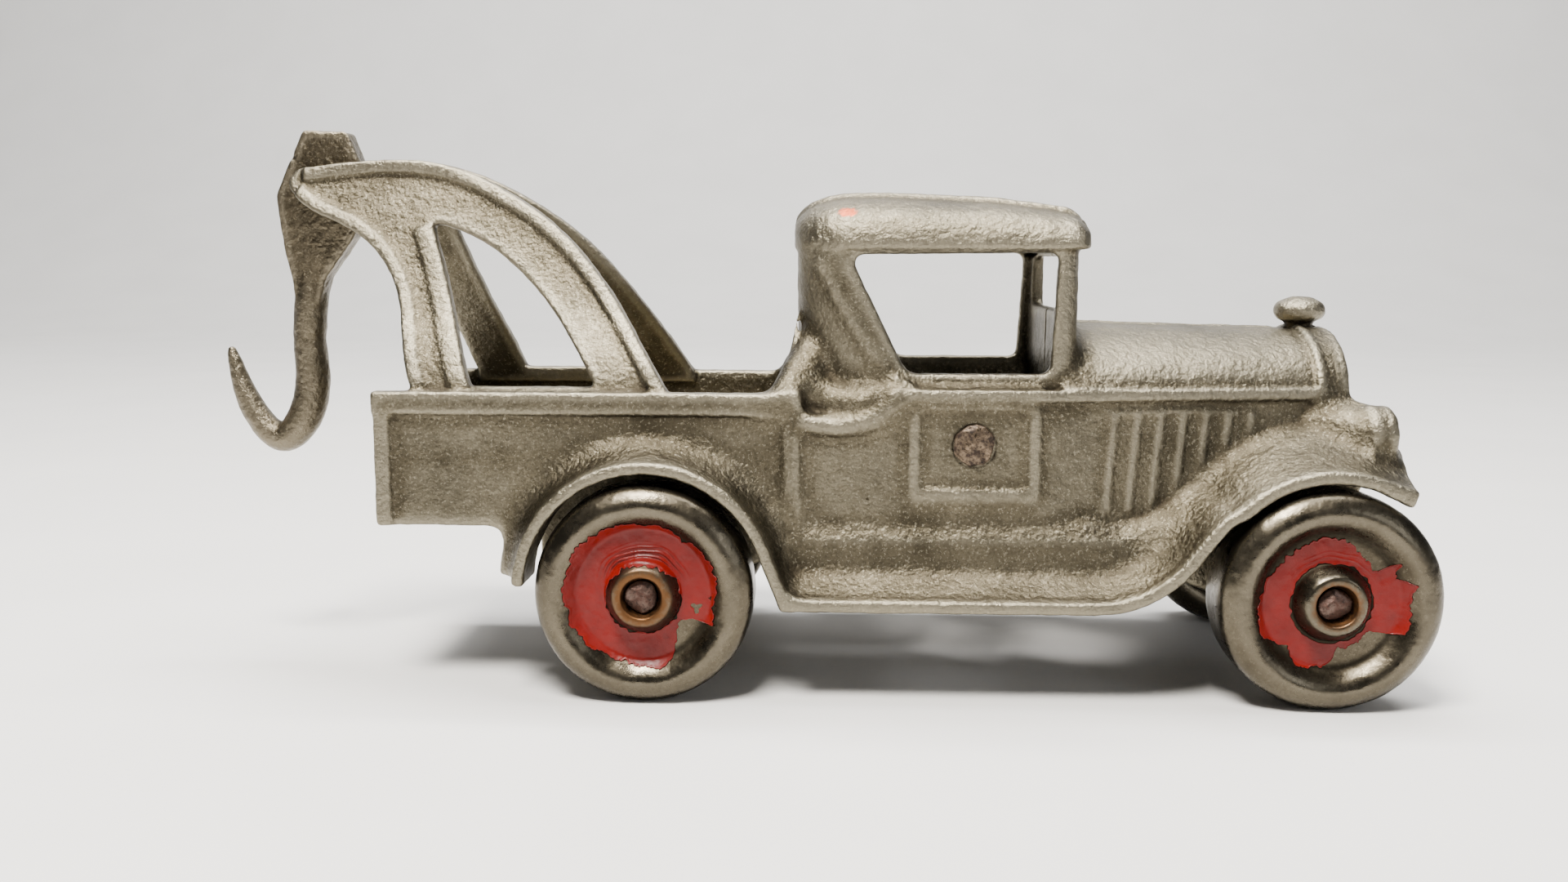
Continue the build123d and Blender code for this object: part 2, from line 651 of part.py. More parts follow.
def half_body():
    """Everything that both halves share, built on the left side."""
    cab = cab_solid(0) + roof_solid(0) - cab_solid(WALL) - roof_solid(WALL) - cab_openings()
    cavity = hood_solid(WALL)
    hood = hood_solid(0) - cavity
    hood = hood - block(0, CAB_FRONT_X - WALL, 0, BODY_Y + 2, BELT_Z, 70)
    pocket, bars = grille()
    half = hood + radiator_shell() - pocket
    for bar in bars:
        half = half + bar
    half = half + lower_cab() + belt() + louvers() + door_frame() + cab
    half = half + bed() + rear_fender() + running_board() + front_fender() + headlight()
    half = half + chassis_wall(REAR_X, 19.5, 24.0, FLOOR_Z + 1)
    half = half + chassis_wall(FRONT_X, 22.0, 8.6, FRONT_FENDER_R + AXLE_Z)
    half = half + boom()
    half = half + rod(RIVET_X, RIVET_Z, BOSS_R, 0, BODY_Y - WALL + 0.5)
    for x, z in PIN_PLACES:
        half = half + block(x - 3, x + 3, 0, 5, z - 3, z + 4.5)
    half = half - rod(RIVET_X, RIVET_Z, RIVET_R + 0.1, -1, BODY_Y + 2)
    clearance = rod(FRONT_X, AXLE_Z, WHEEL_R + 0.8, HUB_IN_Y - 0.4, FENDER_Y + 4)
    clearance = clearance + rod(REAR_X, AXLE_Z, WHEEL_R + 0.8, HUB_IN_Y - 0.4, FENDER_Y + 4)
    half = half - clearance
    return half & block(-130, 90, 0, 60, 0, 110)


def left_half(half):
    """The left half carries the cap and the locating pins."""
    result = half + radiator_cap()
    for x, z in PIN_PLACES:
        result = result + rod(x, z, PIN_R, -PIN_L, 1)
    return result


def right_half(half):
    """The right half has a relief round the cap and sockets for the pins."""
    result = mirror(half, about=Plane.XZ)
    neck = Pos(CAP_X, 0, 60.0) * Cylinder(2.55, 8)
    head = Pos(CAP_X, 0, 65.0) * Cylinder(4.8, 7.0)
    result = result - neck - head
    for x, z in PIN_PLACES:
        result = result - rod(x, z, PIN_SOCKET_R, -PIN_L - 0.3, 1)
    return result


# ---- running gear ----------------------------------------------------------------------------------------
def tyre_side(sign):
    """Half of the wheel's cross-section, from the disc over the tyre's crest to the tread."""
    y = TYRE_MID_Y
    return Spline(
        (DISC_R, y + sign * DISC_HALF_W),
        (DISC_R + 1.5, y + sign * (TYRE_HALF_W - 1.1)),
        (TYRE_CREST_R, y + sign * TYRE_HALF_W),
        (WHEEL_R - 1.1, y + sign * (TYRE_HALF_W - 1.1)),
        (WHEEL_R, y + sign * TREAD_HALF_W),
        tangents=((1.0, sign * 0.8), (0, -sign)),
    )


def wheel(axle_x, side):
    """Cast wheel with a balloon tyre, a dished disc and a countersunk hub; side is +1 left, -1 right."""
    disc_out_y = TYRE_MID_Y + DISC_HALF_W
    disc_in_y = TYRE_MID_Y - DISC_HALF_W
    rim = make_face(
        [
            tyre_side(1),
            Line((WHEEL_R, TYRE_MID_Y + TREAD_HALF_W), (WHEEL_R, TYRE_MID_Y - TREAD_HALF_W)),
            tyre_side(-1),
            Polyline((DISC_R, disc_in_y), (0, disc_in_y), (0, disc_out_y), (DISC_R, disc_out_y)),
        ]
    )
    hub = outline(
        (0, HUB_IN_Y),
        (HUB_R - 0.8, HUB_IN_Y),
        (HUB_R, HUB_IN_Y + 1),
        (HUB_R, disc_out_y + 0.6),
        (HUB_TOP_R + 0.4, HUB_OUT_Y - 0.5),
        (HUB_TOP_R, HUB_OUT_Y),
        (0, HUB_OUT_Y),
    )
    bore = outline(
        (-1, HUB_IN_Y - 1),
        (WHEEL_BORE_R, HUB_IN_Y - 1),
        (WHEEL_BORE_R, HUB_OUT_Y - COUNTERSINK_DEPTH),
        (COUNTERSINK_R, HUB_OUT_Y - 0.6),
        (COUNTERSINK_R, HUB_OUT_Y + 1),
        (-1, HUB_OUT_Y + 1),
    )
    half_plane = outline((WHEEL_BORE_R, 0), (40, 0), (40, 60), (WHEEL_BORE_R, 60))
    profile = ((rim + hub) - bore) & half_plane
    turned = revolve(profile, axis=Axis.Y)
    if side < 0:
        turned = mirror(turned, about=Plane.XZ)
    return Pos(axle_x, 0, AXLE_Z) * turned


def axle(axle_x):
    """Plain rod whose ends are peened over inside the wheel hubs."""
    end_y = HUB_OUT_Y - PEEN_SUNK
    peen_y = end_y - PEEN_H
    profile = outline(
        (0, -end_y),
        (PEEN_R - 1.2, -end_y),
        (PEEN_R, -end_y + 0.7),
        (PEEN_R, -peen_y),
        (ROD_R, -peen_y + 0.3),
        (ROD_R, peen_y - 0.3),
        (PEEN_R, peen_y),
        (PEEN_R, end_y - 0.7),
        (PEEN_R - 1.2, end_y),
        (0, end_y),
    )
    return Pos(axle_x, 0, AXLE_Z) * revolve(profile, axis=Axis.Y)


def body_rivet():
    """One rivet through both halves, with a low hammered head in each door panel."""
    seat = BODY_Y + 0.02
    top = seat + RIVET_HEAD_H
    profile = outline(
        (0, -top),
        (RIVET_HEAD_R - 1.6, -top),
        (RIVET_HEAD_R, -seat - 0.4),
        (RIVET_HEAD_R, -seat),
        (RIVET_R, -seat),
        (RIVET_R, seat),
        (RIVET_HEAD_R, seat),
        (RIVET_HEAD_R, seat + 0.4),
        (RIVET_HEAD_R - 1.6, top),
        (0, top),
    )
    return Pos(RIVET_X, 0, RIVET_Z) * revolve(profile, axis=Axis.Y)


# ---- hook ------------------------------------------------------------------------------------------------
def tow_hook():
    """Flat head on two trunnions, a round shank and a tapering hook."""
    head = outline(
        (-119.6, 94.8),
        (-111.5, 94.3),
        (-107.6, 84.0),
        (-111.0, 75.9),
        (-116.3, 68.6),
        (-117.9, 64.0),
        (-121.9, 64.0),
        (-122.6, 68.6),
        (-123.9, 74.0),
        (-124.9, 83.2),
        radius=0.8,
    )
    plate = across(head, -HEAD_T / 2, HEAD_T / 2)
    path = Plane.XZ * Spline(
        (-118.4, 78.0),
        (-119.6, 67.5),
        (-120.5, 56.0),
        (-121.2, 45.0),
        (-126.3, 39.4),
        (-131.6, 44.6),
        (-133.9, 50.5),
        (-135.3, 56.0),
    )
    rings = []
    for place, radius in HOOK_RADII:
        plane = Plane(origin=path @ place, x_dir=(0, 1, 0), z_dir=path % place)
        rings.append(plane * Circle(radius))
    shank = sweep(rings, path=path, multisection=True)
    trunnions = rod(PIVOT_X, PIVOT_Z, TRUNNION_R, -TRUNNION_TIP_Y, TRUNNION_TIP_Y)
    return plate + shank + trunnions


# ---- export ----------------------------------------------------------------------------------------------
def main():
    os.makedirs("parts", exist_ok=True)
    half = half_body()
    pieces = {
        "left_body_half": left_half(half),
        "right_body_half": right_half(half),
        "body_rivet": body_rivet(),
        "front_axle": axle(FRONT_X),
        "rear_axle": axle(REAR_X),
        "front_left_wheel": wheel(FRONT_X, 1),
        "front_right_wheel": wheel(FRONT_X, -1),
        "rear_left_wheel": wheel(REAR_X, 1),
        "rear_right_wheel": wheel(REAR_X, -1),
        "tow_hook": tow_hook(),
    }
    for name, piece in pieces.items():
        export_step(Pos(ORIGIN_SHIFT, 0, 0) * piece, f"parts/{name}.step")


main()
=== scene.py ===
import json
from math import cos, pi, radians, sin

import bpy
import numpy as np
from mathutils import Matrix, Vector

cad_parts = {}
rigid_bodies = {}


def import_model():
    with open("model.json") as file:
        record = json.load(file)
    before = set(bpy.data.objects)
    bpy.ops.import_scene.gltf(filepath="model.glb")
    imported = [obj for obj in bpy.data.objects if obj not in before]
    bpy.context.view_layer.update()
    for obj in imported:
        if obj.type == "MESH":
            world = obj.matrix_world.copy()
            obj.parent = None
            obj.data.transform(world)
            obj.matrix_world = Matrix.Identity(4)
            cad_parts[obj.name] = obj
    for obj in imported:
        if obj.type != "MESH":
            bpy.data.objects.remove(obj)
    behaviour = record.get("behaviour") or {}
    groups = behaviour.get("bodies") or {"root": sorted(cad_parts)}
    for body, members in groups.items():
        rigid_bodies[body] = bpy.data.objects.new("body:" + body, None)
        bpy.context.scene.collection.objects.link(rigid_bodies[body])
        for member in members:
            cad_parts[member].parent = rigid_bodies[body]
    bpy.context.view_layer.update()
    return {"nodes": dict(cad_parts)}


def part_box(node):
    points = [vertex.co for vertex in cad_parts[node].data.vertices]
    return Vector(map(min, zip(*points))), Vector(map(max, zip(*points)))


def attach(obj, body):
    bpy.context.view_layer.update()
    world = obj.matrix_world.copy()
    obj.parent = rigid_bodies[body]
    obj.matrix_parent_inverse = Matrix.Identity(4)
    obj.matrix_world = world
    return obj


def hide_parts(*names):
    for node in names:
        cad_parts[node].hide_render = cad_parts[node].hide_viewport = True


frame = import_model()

import openvdb as vdb
from mathutils import Matrix, Vector
from mathutils.bvhtree import BVHTree

MM = 0.001
NODES = frame["nodes"]

WHEELS = ("front_right_wheel", "front_left_wheel", "rear_right_wheel", "rear_left_wheel")

# Level sets: how far their values reach on both sides of the skin, in voxels.
BAND = 7
CLOSED_BAND = 4
# Share of the reach at which a corner counts as fully hollow or fully proud.
HOLLOW_SHARE = 0.66
# How far from its place, in mm, a plane cuts.
SLICE_REACH = 5
# Most triangles left in one piece.
BODY_TRIANGLES = 190000
CASTING_TRIANGLES = 120000
SMALL_TRIANGLES = 60000


# ---- places taken from the frame, in millimetres ---------------------------------------------------------
def node_box(node):
    low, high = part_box(node)
    return np.array(low) / MM, np.array(high) / MM


def node_centre(node):
    low, high = node_box(node)
    return (low + high) / 2


FRONT_AXLE = node_centre("front_axle")
REAR_AXLE = node_centre("rear_axle")
MID_X = (FRONT_AXLE[0] + REAR_AXLE[0]) / 2


# ---- noise -----------------------------------------------------------------------------------------------
def hashed(ix, iy, iz, seed):
    """A repeatable random value from -1 to 1 for every whole-number cell."""
    h = (ix * 374761393 + iy * 668265263 + iz * 2147483647 + seed * 1274126177) & 0xFFFFFFFF
    h = ((h ^ (h >> 13)) * 1274126177) & 0xFFFFFFFF
    h = h ^ (h >> 16)
    return h.astype(np.float64) / 2147483647.5 - 1.0


def noise(points, cell, seed):
    """Smooth value noise at points (mm), with bumps about one cell wide."""
    q = points / cell
    base = np.floor(q).astype(np.int64)
    f = q - base
    f = f * f * (3 - 2 * f)
    total = np.zeros(len(points))
    for dx in (0, 1):
        wx = f[:, 0] if dx else 1 - f[:, 0]
        for dy in (0, 1):
            wy = f[:, 1] if dy else 1 - f[:, 1]
            for dz in (0, 1):
                wz = f[:, 2] if dz else 1 - f[:, 2]
                value = hashed(base[:, 0] + dx, base[:, 1] + dy, base[:, 2] + dz, seed)
                total += wx * wy * wz * value
    return total


# ---- level sets: how the cast pieces get their soft edges ------------------------------------------------
def arrays_of(obj):
    """Vertices (mm) and triangles of a mesh."""
    mesh = obj.data
    mesh.calc_loop_triangles()
    points = np.empty(len(mesh.vertices) * 3, np.float32)
    mesh.vertices.foreach_get("co", points)
    triangles = np.empty(len(mesh.loop_triangles) * 3, np.int32)
    mesh.loop_triangles.foreach_get("vertices", triangles)
    return points.reshape(-1, 3) / MM, triangles.reshape(-1, 3)


def level_set(points, voxel, band, triangles=None, quads=None):
    """Signed distance grid of a closed mesh given in millimetres."""
    return vdb.FloatGrid.createLevelSetFromPolygons(
        points.astype(np.float32),
        triangles=None if triangles is None else triangles.astype(np.uint32),
        quads=quads,
        transform=vdb.createLinearTransform(voxelSize=voxel),
        halfWidth=float(band),
    )


def dense(grid, low, high):
    """The grid as an array from voxel low to voxel high."""
    values = np.empty(tuple(high - low + 1), np.float32)
    grid.copyToArray(values, ijk=tuple(int(v) for v in low))
    return values


def blurred(values, sigma):
    """Gaussian blur along the three axes; sigma in voxels."""
    reach = int(np.ceil(2.5 * sigma))
    taps = np.exp(-0.5 * (np.arange(-reach, reach + 1) / sigma) ** 2)
    taps = (taps / taps.sum()).astype(np.float32)
    for axis in range(3):
        size = values.shape[axis]
        padded = np.pad(values, [(reach, reach) if a == axis else (0, 0) for a in range(3)], mode="edge")
        result = np.zeros_like(values)
        for index, tap in enumerate(taps):
            window = [slice(None)] * 3
            window[axis] = slice(index, index + size)
            result += tap * padded[tuple(window)]
        values = result
    return values


def closed_grid(grid, radius, voxel):
    """The same shape with every inner corner filled to the given radius (mm)."""
    points, _, quads = grid.convertToPolygons(isovalue=radius, adaptivity=0.0)
    swollen = level_set(points, voxel, radius / voxel + 3, quads=quads)
    points, _, quads = swollen.convertToPolygons(isovalue=-radius, adaptivity=0.0)
    return level_set(points, voxel, CLOSED_BAND, quads=quads)


def partly_closed(values, points, triangles, low, high, voxel, radius, weight):
    """Mixes in the shape with filled inner corners, where weight(x, y, z) is above zero."""
    wide = level_set(points, voxel, radius / voxel + 3, triangles=triangles)
    filled = dense(closed_grid(wide, radius, voxel), low, high)
    x = ((low[0] + np.arange(values.shape[0])) * voxel)[:, None, None]
    y = ((low[1] + np.arange(values.shape[1])) * voxel)[None, :, None]
    z = ((low[2] + np.arange(values.shape[2])) * voxel)[None, None, :]
    share = np.clip(weight(x, y, z), 0, 1).astype(np.float32)
    most = CLOSED_BAND * voxel
    values = np.clip(values, -most, most)
    return values + share * (np.clip(filled, -most, most) - values)


def mesh_object(name, points, faces):
    """A smooth-shaded mesh object from points in millimetres and faces that all have as many corners."""
    points = np.asarray(points, np.float64)
    faces = np.asarray(faces, np.int32)
    count, corners = faces.shape
    mesh = bpy.data.meshes.new(name)
    mesh.vertices.add(len(points))
    mesh.vertices.foreach_set("co", (points * MM).astype(np.float32).ravel())
    mesh.loops.add(count * corners)
    mesh.loops.foreach_set("vertex_index", faces.ravel())
    mesh.polygons.add(count)
    mesh.polygons.foreach_set("loop_start", np.arange(0, count * corners, corners, dtype=np.int32))
    mesh.update(calc_edges=True)
    mesh.polygons.foreach_set("use_smooth", np.ones(count, bool))
    obj = bpy.data.objects.new(name, mesh)
    bpy.context.scene.collection.objects.link(obj)
    return obj


def decimated(obj, limit):
    """Cuts a mesh down to about limit triangles."""
    triangles = sum(len(p.vertices) - 2 for p in obj.data.polygons)
    if triangles <= limit:
        return obj
    modifier = obj.modifiers.new("fewer", "DECIMATE")
    modifier.ratio = limit / triangles
    bpy.context.view_layer.objects.active = obj
    with bpy.context.temp_override(object=obj, active_object=obj, selected_objects=[obj]):
        bpy.ops.object.modifier_apply(modifier="fewer")
    return obj


class Clay:
    """Adds and cuts small soft shapes in a level set held as an array; places are in millimetres."""

    def __init__(self, values, low, voxel):
        self.values, self.low, self.voxel = values, low, voxel

    def window(self, places, reach):
        """The part of the array around some places, with its x, y and z coordinates."""
        places = np.atleast_2d(np.asarray(places, float))
        first = np.floor((places.min(0) - reach) / self.voxel).astype(int) - self.low
        last = np.ceil((places.max(0) + reach) / self.voxel).astype(int) - self.low + 1
        first = np.clip(first, 0, self.values.shape)
        last = np.clip(last, 0, self.values.shape)
        window = tuple(slice(a, b) for a, b in zip(first, last))
        axes = [(self.low[k] + np.arange(first[k], last[k])) * self.voxel for k in range(3)]
        return window, np.meshgrid(*axes, indexing="ij", sparse=True)

    def distance(self, grid, places, radii):
        """Distance to a string of tapered tubes."""
        nearest = None
        for (p, r0), (q, r1) in zip(zip(places, radii), zip(places[1:], radii[1:])):
            p, q = np.asarray(p, float), np.asarray(q, float)
            run = q - p
            share = sum((grid[k] - p[k]) * run[k] for k in range(3)) / max(float(run @ run), 1e-9)
            share = np.clip(share, 0, 1)
            away = np.sqrt(sum((grid[k] - p[k] - share * run[k]) ** 2 for k in range(3)))
            gap = away - (r0 + share * (r1 - r0))
            nearest = gap if nearest is None else np.minimum(nearest, gap)
        return nearest

    def tube(self, places, radii, blend):
        """Melts a string of tubes onto the shape."""
        window, grid = self.window(places, max(radii) + 3 * blend + 1)
        first = self.values[window]
        second = self.distance(grid, places, radii)
        share = np.clip(0.5 + 0.5 * (first - second) / blend, 0, 1)
        self.values[window] = first + share * (second - first) - blend * share * (1 - share)

    def blob(self, place, radius, blend=0.3):
        """Melts on a round drop."""
        self.tube([place, np.asarray(place) + (0.01, 0, 0)], [radius, radius], blend)

    def pit(self, place, radius, blend=0.3):
        """Cuts a round pit."""
        places = [place, np.asarray(place) + (0.01, 0, 0)]
        window, grid = self.window(places, radius + 3 * blend + 1)
        first = self.values[window]
        second = -self.distance(grid, places, [radius, radius])
        share = np.clip(0.5 - 0.5 * (first - second) / blend, 0, 1)
        self.values[window] = first + share * (second - first) + blend * share * (1 - share)

    def slice_off(self, place, direction):
        """Cuts everything on the far side of a plane, near the place."""
        window, grid = self.window([place], SLICE_REACH)
        normal = np.asarray(direction, float)
        normal = normal / np.linalg.norm(normal)
        plane = sum((grid[k] - place[k]) * normal[k] for k in range(3))
        self.values[window] = np.maximum(self.values[window], plane)


def sampled(values, low, voxel, points):
    """The array's value at each point, between voxels."""
    q = points / voxel - low
    base = np.clip(np.floor(q).astype(int), 0, np.array(values.shape) - 2)
    f = q - base
    total = np.zeros(len(points))
    for dx in (0, 1):
        for dy in (0, 1):
            for dz in (0, 1):
                share = (f[:, 0] if dx else 1 - f[:, 0]) * (f[:, 1] if dy else 1 - f[:, 1])
                share = share * (f[:, 2] if dz else 1 - f[:, 2])
                total += share * values[base[:, 0] + dx, base[:, 1] + dy, base[:, 2] + dz]
    return total


def cast_copy(node, name, voxel, soft, relief, limit, closing=None, shape=None, reach=0.9):
    """A cast version of a CAD node: soft edges, filled corners and an uneven skin.

    soft is the edge blur in mm, relief(points, normals) gives each point's rise in mm, closing is
    (radius, weight(x, y, z)) for inner corners that are filled where the weight is above zero, shape(clay)
    adds flaws, and reach is the size in mm of the corners that get dirt and painted shade."""
    points, triangles = arrays_of(NODES[node])
    low = np.floor(points.min(0) / voxel).astype(int) - BAND
    high = np.ceil(points.max(0) / voxel).astype(int) + BAND
    values = dense(level_set(points, voxel, BAND, triangles=triangles), low, high)
    if closing:
        values = partly_closed(values, points, triangles, low, high, voxel, *closing)
    if shape:
        shape(Clay(values, low, voxel))
    values = blurred(values, soft / voxel)
    smooth_grid = vdb.FloatGrid(BAND * voxel)
    smooth_grid.transform = vdb.createLinearTransform(voxelSize=voxel)
    smooth_grid.gridClass = vdb.GridClass.LEVEL_SET
    smooth_grid.copyFromArray(values, ijk=tuple(int(v) for v in low), tolerance=0.0)
    points, _, quads = smooth_grid.convertToPolygons(isovalue=0.0, adaptivity=0.0)
    obj = mesh_object(name, points, quads[:, ::-1])
    normals = np.empty(len(points) * 3, np.float32)
    obj.data.vertices.foreach_get("normal", normals)
    normals = normals.reshape(-1, 3)
    hollow = 0.5 - sampled(blurred(values, reach / voxel), low, voxel, points) / (HOLLOW_SHARE * reach)
    attribute = obj.data.attributes.new("hollow", "FLOAT", "POINT")
    attribute.data.foreach_set("value", np.clip(hollow, 0, 1).astype(np.float32))
    points = points + normals * relief(points.astype(float), normals)[:, None]
    obj.data.vertices.foreach_set("co", (points * MM).astype(np.float32).ravel())
    obj.data.update()
    obj = decimated(obj, limit)
    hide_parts(node)
    return obj


# ---- materials -------------------------------------------------------------------------------------------
class Shader:
    """Small helper that builds one node material."""

    def __init__(self, name):
        self.material = bpy.data.materials.new(name)
        self.material.use_nodes = True
        self.nodes = self.material.node_tree.nodes
        self.links = self.material.node_tree.links
        self.bsdf = self.nodes["Principled BSDF"]
        self.place = self.nodes.new("ShaderNodeTexCoord").outputs["Object"]

    def set(self, socket, value):
        """Links a node's output to a socket, or stores a plain value in it."""
        if isinstance(value, bpy.types.NodeSocket):
            self.links.new(value, socket)
        else:
            socket.default_value = value

    def noise(self, cell_mm, detail=2.0, rough=0.5):
        """Noise whose bumps are about cell_mm wide."""
        node = self.nodes.new("ShaderNodeTexNoise")
        self.links.new(self.place, node.inputs["Vector"])
        node.inputs["Scale"].default_value = 1.0 / (cell_mm * MM)
        node.inputs["Detail"].default_value = detail
        node.inputs["Roughness"].default_value = rough
        return node.outputs["Fac"]

    def ramp(self, factor, *stops):
        """Colour or grey ramp; each stop is (place, grey or colour)."""
        node = self.nodes.new("ShaderNodeValToRGB")
        elements = node.color_ramp.elements
        while len(elements) < len(stops):
            elements.new(0.5)
        for element, (place, value) in zip(elements, stops):
            element.position = place
            colour = (value, value, value) if isinstance(value, (int, float)) else value
            element.color = (*colour, 1.0)
        self.links.new(factor, node.inputs["Fac"])
        return node.outputs["Color"]

    def mix(self, factor, first, second):
        """The first colour at factor 0, the second at factor 1."""
        node = self.nodes.new("ShaderNodeMix")
        node.data_type = "RGBA"
        self.set(node.inputs[0], factor)
        for socket, value in ((node.inputs[6], first), (node.inputs[7], second)):
            if isinstance(value, tuple):
                value = (*value, 1.0)
            self.set(socket, value)
        return node.outputs[2]

    def maths(self, operation, first, second):
        node = self.nodes.new("ShaderNodeMath")
        node.operation = operation
        self.set(node.inputs[0], first)
        self.set(node.inputs[1], second)
        return node.outputs[0]

    def bump(self, height, depth_mm, strength=1.0, under=None):
        """A normal from a height; under is the normal of a coarser bump."""
        node = self.nodes.new("ShaderNodeBump")
        node.inputs["Distance"].default_value = depth_mm * MM
        node.inputs["Strength"].default_value = strength
        self.links.new(height, node.inputs["Height"])
        if under:
            self.links.new(under, node.inputs["Normal"])
        return node.outputs["Normal"]

    def hollow(self):
        """0.5 on flat skin, up to 1 in inner corners and down to 0 on outer edges."""
        node = self.nodes.new("ShaderNodeAttribute")
        node.attribute_name = "hollow"
        return node.outputs["Fac"]

    def near(self, place_mm, size_mm):
        """Distance from a place, 1.0 on an ellipsoid of the given half sizes; None leaves an axis out."""
        away = self.nodes.new("ShaderNodeVectorMath")
        away.operation = "SUBTRACT"
        self.links.new(self.place, away.inputs[0])
        away.inputs[1].default_value = [v * MM for v in place_mm]
        scaled = self.nodes.new("ShaderNodeVectorMath")
        scaled.operation = "MULTIPLY"
        self.links.new(away.outputs[0], scaled.inputs[0])
        scaled.inputs[1].default_value = [0 if v is None else 1 / (v * MM) for v in size_mm]
        length = self.nodes.new("ShaderNodeVectorMath")
        length.operation = "LENGTH"
        self.links.new(scaled.outputs[0], length.inputs[0])
        return length.outputs["Value"]


def plated_iron(name, light, dark, darkening, bright, rough, grain):
    """Sand-cast iron under old nickel: grain, painted glints, cloudy tarnish, dirt and painted shade in the
    hollows, edges lighter from wear and painted highlights.

    rough is the lowest and highest roughness, and grain is the size and depth of the sand grain in mm."""
    rough_low, rough_high = rough
    grain_mm, grain_depth = grain
    shader = Shader(name)
    cloud = shader.ramp(shader.noise(13, 4, 0.6), (0.34, 0.0), (0.70, 1.0))
    colour = shader.mix(cloud, light, dark)
    speckle = shader.ramp(shader.noise(0.55, 3, 0.7), (0.46, 0.0), (0.62, 1.0))
    colour = shader.mix(shader.maths("MULTIPLY", speckle, 0.55), colour, dark)
    # Painted glints: random specks of the grain are lightened towards the bright colour, standing in for
    # highlights on the sand grain.
    painted_glint = shader.ramp(shader.noise(0.5, 2, 0.7), (0.56, 0.0), (0.68, 1.0))
    colour = shader.mix(shader.maths("MULTIPLY", painted_glint, 0.36), colour, bright)
    # worn is a concavity measure with a little noise, not wear alone: high in inner corners and low on outer
    # edges.
    worn = shader.maths("ADD", shader.hollow(), shader.maths("MULTIPLY", shader.noise(1.8, 3, 0.6), 0.16))
    # Dirt together with painted shade: inner corners are darkened towards the darkest colour.
    hollow = shader.ramp(worn, (0.64, 0.0), (0.88, 1.0))
    colour = shader.mix(shader.maths("MULTIPLY", hollow, 0.7), colour, darkening)
    # Outer edges are lightened towards the bright colour: wear together with painted highlights along the
    # edges.
    edge = shader.ramp(worn, (0.34, 1.0), (0.52, 0.0))
    colour = shader.mix(shader.maths("MULTIPLY", edge, 0.38), colour, bright)
    shader.colour = colour
    shader.set(shader.bsdf.inputs["Base Color"], colour)
    shader.bsdf.inputs["Metallic"].default_value = 1.0
    shine = shader.ramp(shader.noise(3.5, 4, 0.65), (0.3, rough_low), (0.7, rough_high))
    shader.rough = shader.mix(shader.maths("MULTIPLY", hollow, 0.7), shine, (0.7, 0.7, 0.7))
    shader.set(shader.bsdf.inputs["Roughness"], shader.rough)
    coarse = shader.bump(shader.noise(grain_mm * 1.9, 1, 0.4), grain_depth * 1.5, 1.0)
    fine = shader.bump(shader.noise(grain_mm * 0.8, 3, 0.75), grain_depth, 1.0, under=coarse)
    shader.set(shader.bsdf.inputs["Normal"], fine)
    return shader


def smudged(shader, place_mm, size_mm, colour, amount):
    """A dab of old paint at one place on a plated piece."""
    away = shader.near(place_mm, size_mm)
    ragged = shader.maths("ADD", away, shader.maths("MULTIPLY", shader.noise(0.9, 3, 0.7), 1.3))
    mask = shader.ramp(shader.maths("MULTIPLY", ragged, 0.5), (0.62, 1.0), (0.78, 0.0))
    mask = shader.maths("MULTIPLY", mask, amount)
    shader.colour = shader.mix(mask, shader.colour, colour)
    shader.set(shader.bsdf.inputs["Base Color"], shader.colour)


def dirt_and_shade_ring(shader, centre, radius_mm, width_mm, colour):
    """A dark ring of dirt and painted shade in the crevice round a rivet or a rod; the ring lies square to
    the truck's width.
    """
    away = shader.near(centre, (radius_mm, None, radius_mm))
    off = shader.maths("ABSOLUTE", shader.maths("SUBTRACT", away, 1.0), 0.0)
    width = width_mm / radius_mm
    ragged = shader.maths("ADD", off, shader.maths("MULTIPLY", shader.noise(1.8, 3, 0.65), 4 * width))
    mask = shader.ramp(ragged, (1.6 * width, 1.0), (3.0 * width, 0.0))
    # The ring's dark colour is shade painted into the crevice, together with dirt.
    shader.colour = shader.mix(mask, shader.colour, colour)
    shader.set(shader.bsdf.inputs["Base Color"], shader.colour)


def rusty_hub(shader, axle, reach_mm, colour, amount):
    """Rust that has crept out of the axle hole over the hub of a wheel."""
    away = shader.near(axle, (reach_mm, None, reach_mm))
    ragged = shader.maths("ADD", away, shader.maths("MULTIPLY", shader.noise(1.0, 3, 0.7), 0.5))
    mask = shader.ramp(shader.maths("MULTIPLY", ragged, 0.5), (0.52, 1.0), (0.68, 0.0))
    mask = shader.maths("MULTIPLY", mask, amount)
    shader.colour = shader.mix(mask, shader.colour, colour)
    shader.set(shader.bsdf.inputs["Base Color"], shader.colour)
    dull = shader.mix(mask, shader.rough, (0.55, 0.55, 0.55))
    shader.set(shader.bsdf.inputs["Roughness"], dull)


def red_paint():
    """Old satin enamel, worn thin and dirty in places."""
    shader = Shader("old_red_paint")
    patch = shader.ramp(shader.noise(5, 3, 0.6), (0.35, 0.0), (0.7, 1.0))
    colour = shader.mix(patch, (0.145, 0.0034, 0.0018), (0.10, 0.0027, 0.0017))
    darkening = shader.ramp(shader.noise(1.1, 3, 0.7), (0.58, 0.0), (0.75, 1.0))
    colour = shader.mix(shader.maths("MULTIPLY", darkening, 0.45), colour, (0.06, 0.004, 0.003))
    shader.set(shader.bsdf.inputs["Base Color"], colour)
    rough = shader.ramp(shader.noise(2, 3, 0.6), (0.3, 0.30), (0.7, 0.5))
    shader.set(shader.bsdf.inputs["Roughness"], rough)
    shader.bsdf.inputs["Specular IOR Level"].default_value = 0.25
    wrinkles = shader.bump(shader.noise(1.4, 3, 0.6), 0.09, 0.8)
    dust = shader.bump(shader.noise(0.5, 3, 0.6), 0.03, 0.7, under=wrinkles)
    shader.set(shader.bsdf.inputs["Normal"], dust)
    return shader.material


